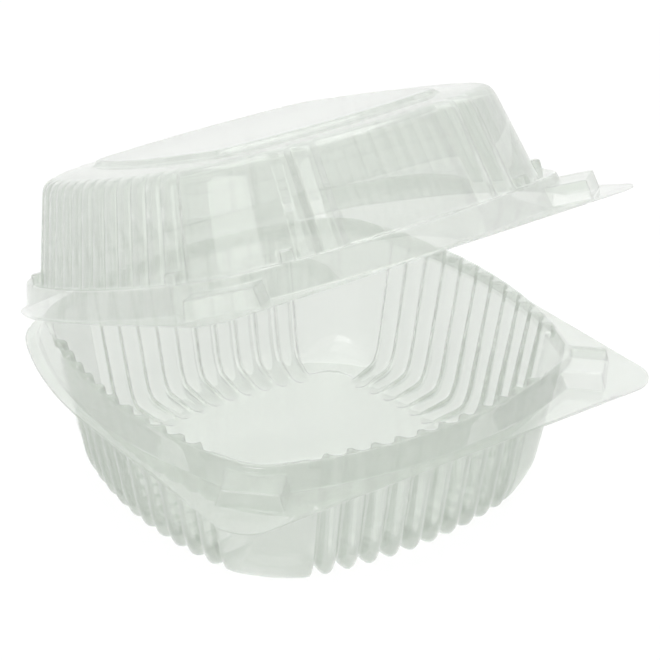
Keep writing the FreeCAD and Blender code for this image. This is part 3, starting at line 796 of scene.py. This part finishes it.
def fold_grid():
    """Quadratic arc from the tray's edge over the fold line to the lid's edge, with a ripple.

    The ripple is a sum of three sines along X and is widest in the middle of the arc.
    """
    along = np.linspace(-HINGE_HALF, HINGE_HALF, FOLD_SAMPLES)[None, :, None]
    share = np.linspace(0.0, 1.0, FOLD_STEPS)[:, None, None]
    tray_edge = np.array([0.0, FLANGE, FLANGE_TOP - FORMED])
    lid_edge = opened(np.array([0.0, FLANGE, LID_FLANGE_TOP]), LID_OPEN)
    turn_point = FOLD_LINE + np.array([0.0, 0.12, 0.0])
    arc = (1 - share) ** 2 * tray_edge + 2 * share * (1 - share) * turn_point + share ** 2 * lid_edge
    ripple = sum(height * np.sin(along * turns + start) for height, turns, start in RIPPLES)
    grid = arc + along * np.array([1.0, 0.0, 0.0])
    return grid + ripple * np.sin(math.pi * share) * np.array([0.0, 0.9, 0.45])


def strip_mesh(name, grid):
    """An open grid as a mesh of quads, in metres."""
    rows, columns, _ = grid.shape
    row, column = np.meshgrid(np.arange(rows - 1), np.arange(columns - 1), indexing="ij")
    corner = row * columns + column
    quads = np.stack([corner, corner + 1, corner + columns + 1, corner + columns], axis=-1).reshape(-1, 4)
    mesh = bpy.data.meshes.new(name)
    mesh.from_pydata((grid.reshape(-1, 3) * MM).tolist(), [], quads.tolist())
    mesh.polygons.foreach_set("use_smooth", np.ones(len(mesh.polygons), bool))
    mesh.update()
    return mesh


fold = bpy.data.objects.new("fold_strip", strip_mesh("fold_strip", fold_grid()))
bpy.context.scene.collection.objects.link(fold)
fold_wall = fold.modifiers.new("sheet thickness", "SOLIDIFY")
fold_wall.thickness = FOLD_THICKNESS * MM
fold_wall.offset = 0.0
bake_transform(fold)
print("fold strip:", len(fold.data.vertices), "points")

# %% [markdown]
# ## Clear plastic
#
# The sheet is clear with a faint grey-green haze: where two or three layers overlap it looks
# hardly darker than one. A Principled BSDF that is part transmission and part plain colour does
# that, because the haze hides what lies behind it by a fixed share. Formed sheet isn't optically
# flat either, so a bump from shallow waves and fine scratches goes into its normal.

# %% The plastic's material


def link(tree, source, target):
    tree.links.new(source, target)


def drawn_sheet_group():
    """A node group: the height of shallow waves and fine scratches, from object coordinates."""
    group = bpy.data.node_groups.new("drawn_sheet", "ShaderNodeTree")
    group.interface.new_socket("Wave Scale", in_out="INPUT", socket_type="NodeSocketFloat")
    group.interface.new_socket("Scratch", in_out="INPUT", socket_type="NodeSocketFloat")
    group.interface.new_socket("Height", in_out="OUTPUT", socket_type="NodeSocketFloat")
    group.interface.new_socket("Rough", in_out="OUTPUT", socket_type="NodeSocketFloat")
    nodes = group.nodes
    inputs = nodes.new("NodeGroupInput")
    outputs = nodes.new("NodeGroupOutput")
    place = nodes.new("ShaderNodeTexCoord")
    waves = nodes.new("ShaderNodeTexNoise")
    waves.inputs["Detail"].default_value = 1.5
    link(group, place.outputs["Object"], waves.inputs["Vector"])
    link(group, inputs.outputs["Wave Scale"], waves.inputs["Scale"])
    stretch = nodes.new("ShaderNodeMapping")
    stretch.inputs["Rotation"].default_value = (0.0, 0.0, math.radians(28))
    stretch.inputs["Scale"].default_value = (1.0, 14.0, 14.0)
    link(group, place.outputs["Object"], stretch.inputs["Vector"])
    scratches = nodes.new("ShaderNodeTexNoise")
    scratches.inputs["Scale"].default_value = 60.0
    scratches.inputs["Detail"].default_value = 2.0
    link(group, stretch.outputs["Vector"], scratches.inputs["Vector"])
    thin = nodes.new("ShaderNodeMapRange")
    thin.inputs["From Min"].default_value = 0.66
    thin.inputs["From Max"].default_value = 0.74
    link(group, scratches.outputs["Fac"], thin.inputs["Value"])
    weighed = nodes.new("ShaderNodeMath")
    weighed.operation = "MULTIPLY_ADD"
    link(group, thin.outputs["Result"], weighed.inputs[0])
    link(group, inputs.outputs["Scratch"], weighed.inputs[1])
    link(group, waves.outputs["Fac"], weighed.inputs[2])
    link(group, weighed.outputs["Value"], outputs.inputs["Height"])
    rough = nodes.new("ShaderNodeMapRange")
    rough.inputs["To Min"].default_value = 0.03
    rough.inputs["To Max"].default_value = 0.16
    link(group, thin.outputs["Result"], rough.inputs["Value"])
    link(group, rough.outputs["Result"], outputs.inputs["Rough"])
    return group


drawn_group = drawn_sheet_group()


def clear_plastic(name, tint, bump_distance):
    """Part transmission and part haze, a faint tint, and the drawn sheet's bump and roughness."""
    material = bpy.data.materials.new(name)
    material.use_nodes = True
    tree = material.node_tree
    shader = tree.nodes["Principled BSDF"]
    shader.inputs["Base Color"].default_value = (*tint, 1.0)
    shader.inputs["Transmission Weight"].default_value = 0.76
    shader.inputs["IOR"].default_value = 1.46
    shader.inputs["Alpha"].default_value = 0.63
    drawn = tree.nodes.new("ShaderNodeGroup")
    drawn.node_tree = drawn_group
    drawn.inputs["Wave Scale"].default_value = 45.0
    drawn.inputs["Scratch"].default_value = 0.05
    bump = tree.nodes.new("ShaderNodeBump")
    bump.inputs["Strength"].default_value = 1.0
    bump.inputs["Distance"].default_value = bump_distance
    link(tree, drawn.outputs["Height"], bump.inputs["Height"])
    link(tree, bump.outputs["Normal"], shader.inputs["Normal"])
    link(tree, drawn.outputs["Rough"], shader.inputs["Roughness"])
    light_path = tree.nodes.new("ShaderNodeLightPath")
    lets_light_through = tree.nodes.new("ShaderNodeBsdfTransparent")
    lets_light_through.inputs["Color"].default_value = (0.93, 0.94, 0.93, 1.0)
    mix = tree.nodes.new("ShaderNodeMixShader")
    link(tree, light_path.outputs["Is Shadow Ray"], mix.inputs["Fac"])
    link(tree, shader.outputs["BSDF"], mix.inputs[1])
    link(tree, lets_light_through.outputs["BSDF"], mix.inputs[2])
    link(tree, mix.outputs["Shader"], tree.nodes["Material Output"].inputs["Surface"])
    return material


plastic = clear_plastic("clear formed plastic", (0.735, 0.77, 0.725), 0.0001)
# The fold strip gets a darker tint: painted shade, standing in for the dark line that the sharp bend makes.
fold_plastic_shaded = clear_plastic("clear plastic with painted fold shade", (0.50, 0.54, 0.50), 0.0003)
for piece in (tray, lid):
    piece.data.materials.append(plastic)
fold.data.materials.append(fold_plastic_shaded)
print("materials:", plastic.name, "and", fold_plastic_shaded.name)

# %% [markdown]
# ## Floor, light and background
#
# The pack stands on white. The floor takes the shadow, and the camera, reflections and rays
# through the plastic see the world as plain white.

# %% Floor and world
FLOOR_HALF = 3.0
FLOOR_DROP = 0.0003    # just under the feet, in metres
WHITE = (1.0, 1.0, 1.0, 1.0)


def seen_by_view(tree):
    """Light Path: 1 for camera, glossy and transmission rays, which are to meet plain white."""
    path = tree.nodes.new("ShaderNodeLightPath")
    first = tree.nodes.new("ShaderNodeMath")
    first.operation = "MAXIMUM"
    link(tree, path.outputs["Is Camera Ray"], first.inputs[0])
    link(tree, path.outputs["Is Glossy Ray"], first.inputs[1])
    second = tree.nodes.new("ShaderNodeMath")
    second.operation = "MAXIMUM"
    link(tree, first.outputs["Value"], second.inputs[0])
    link(tree, path.outputs["Is Transmission Ray"], second.inputs[1])
    return second.outputs["Value"]


world = bpy.data.worlds.new("studio")
bpy.context.scene.world = world
world.use_nodes = True
world_tree = world.node_tree
soft = world_tree.nodes["Background"]
soft.inputs["Color"].default_value = WHITE
soft.inputs["Strength"].default_value = 0.75
plain = world_tree.nodes.new("ShaderNodeBackground")
plain.inputs["Color"].default_value = WHITE
plain.inputs["Strength"].default_value = 1.0
choose = world_tree.nodes.new("ShaderNodeMixShader")
link(world_tree, seen_by_view(world_tree), choose.inputs["Fac"])
link(world_tree, soft.outputs["Background"], choose.inputs[1])
link(world_tree, plain.outputs["Background"], choose.inputs[2])
link(world_tree, choose.outputs["Shader"], world_tree.nodes["World Output"].inputs["Surface"])

floor_mesh = bpy.data.meshes.new("floor")
floor_corners = [(-1, -1), (1, -1), (1, 1), (-1, 1)]
floor_mesh.from_pydata(
    [(x * FLOOR_HALF, y * FLOOR_HALF, -FLOOR_DROP) for x, y in floor_corners], [], [(0, 1, 2, 3)],
)
floor = bpy.data.objects.new("floor", floor_mesh)
bpy.context.scene.collection.objects.link(floor)
floor_material = bpy.data.materials.new("white floor")
floor_material.use_nodes = True
floor_tree = floor_material.node_tree
paper = floor_tree.nodes["Principled BSDF"]
paper.inputs["Base Color"].default_value = (0.97, 0.97, 0.97, 1.0)
paper.inputs["Roughness"].default_value = 0.9
paper.inputs["Specular IOR Level"].default_value = 0.0
glow = floor_tree.nodes.new("ShaderNodeEmission")
glow.inputs["Color"].default_value = WHITE
glow.inputs["Strength"].default_value = 1.0
share = floor_tree.nodes.new("ShaderNodeMath")
share.operation = "MULTIPLY"
share.inputs[1].default_value = 0.8
link(floor_tree, seen_by_view(floor_tree), share.inputs[0])
floor_mix = floor_tree.nodes.new("ShaderNodeMixShader")
link(floor_tree, share.outputs["Value"], floor_mix.inputs["Fac"])
link(floor_tree, paper.outputs["BSDF"], floor_mix.inputs[1])
link(floor_tree, glow.outputs["Emission"], floor_mix.inputs[2])
link(floor_tree, floor_mix.outputs["Shader"], floor_tree.nodes["Material Output"].inputs["Surface"])
floor_mesh.materials.append(floor_material)
print("floor at", floor_mesh.vertices[0].co.z)

# %% [markdown]
# ## Lamps
#
# Two large soft lamps, one above and one to the left, put broad pale highlights on the dome and
# the flutes. They stay weak, because the white surroundings already light the sheet.

# %% Lamps
LAMP_AIM = Vector((0, 0, 0.05))


def soft_lamp(name, place, size, power):
    """A square area lamp that looks at the pack."""
    data = bpy.data.lights.new(name, "AREA")
    data.shape = "SQUARE"
    data.size = size
    data.energy = power
    lamp = bpy.data.objects.new(name, data)
    bpy.context.scene.collection.objects.link(lamp)
    facing = (LAMP_AIM - Vector(place)).to_track_quat("-Z", "Y").to_matrix().to_4x4()
    lamp.matrix_world = Matrix.Translation(place) @ facing
    return lamp


soft_lamp("top softbox", (0.1, 0.2, 1.1), 1.0, 6.0)
soft_lamp("left softbox", (-0.9, -0.5, 0.7), 0.6, 3.0)

# %% [markdown]
# ## The camera
#
# The camera stands where the photograph was taken from: to the left of the front, a little above.

# %% Camera
AZIMUTH = math.radians(-36.0)
ELEVATION = math.radians(28.16)
DISTANCE = 0.79597
ROLL = math.radians(0.21)
TARGET = Vector((0.00948, 0.00080, 0.04358))

toward = Vector((
    math.sin(AZIMUTH) * math.cos(ELEVATION), -math.cos(AZIMUTH) * math.cos(ELEVATION), math.sin(ELEVATION),
))
right = Vector((math.cos(AZIMUTH), math.sin(AZIMUTH), 0.0))
up = toward.cross(right)
right, up = (
    right * math.cos(ROLL) + up * math.sin(ROLL),
    up * math.cos(ROLL) - right * math.sin(ROLL),
)
lens = bpy.data.cameras.new("camera")
lens.lens = 143.6
lens.sensor_width = 36.0
lens.shift_x = 0.0021
lens.shift_y = -0.0006
lens.clip_start = 0.01
camera = bpy.data.objects.new("camera", lens)
bpy.context.scene.collection.objects.link(camera)
facing = Matrix((right, up, toward)).transposed().to_4x4()
camera.matrix_world = Matrix.Translation(TARGET + toward * DISTANCE) @ facing
bpy.context.scene.camera = camera
print("camera at", [round(value, 3) for value in camera.location])

# %% [markdown]
# ## Render settings
#
# Light crosses up to a dozen faces of clear sheet on its way through both halves, so the number
# of bounces is raised.

# %% Render settings
scene = bpy.context.scene
scene.view_settings.view_transform = "Standard"
scene.cycles.max_bounces = 32
scene.cycles.transmission_bounces = 32
scene.cycles.glossy_bounces = 8
scene.cycles.transparent_max_bounces = 16
scene.cycles.caustics_reflective = True
scene.cycles.caustics_refractive = True
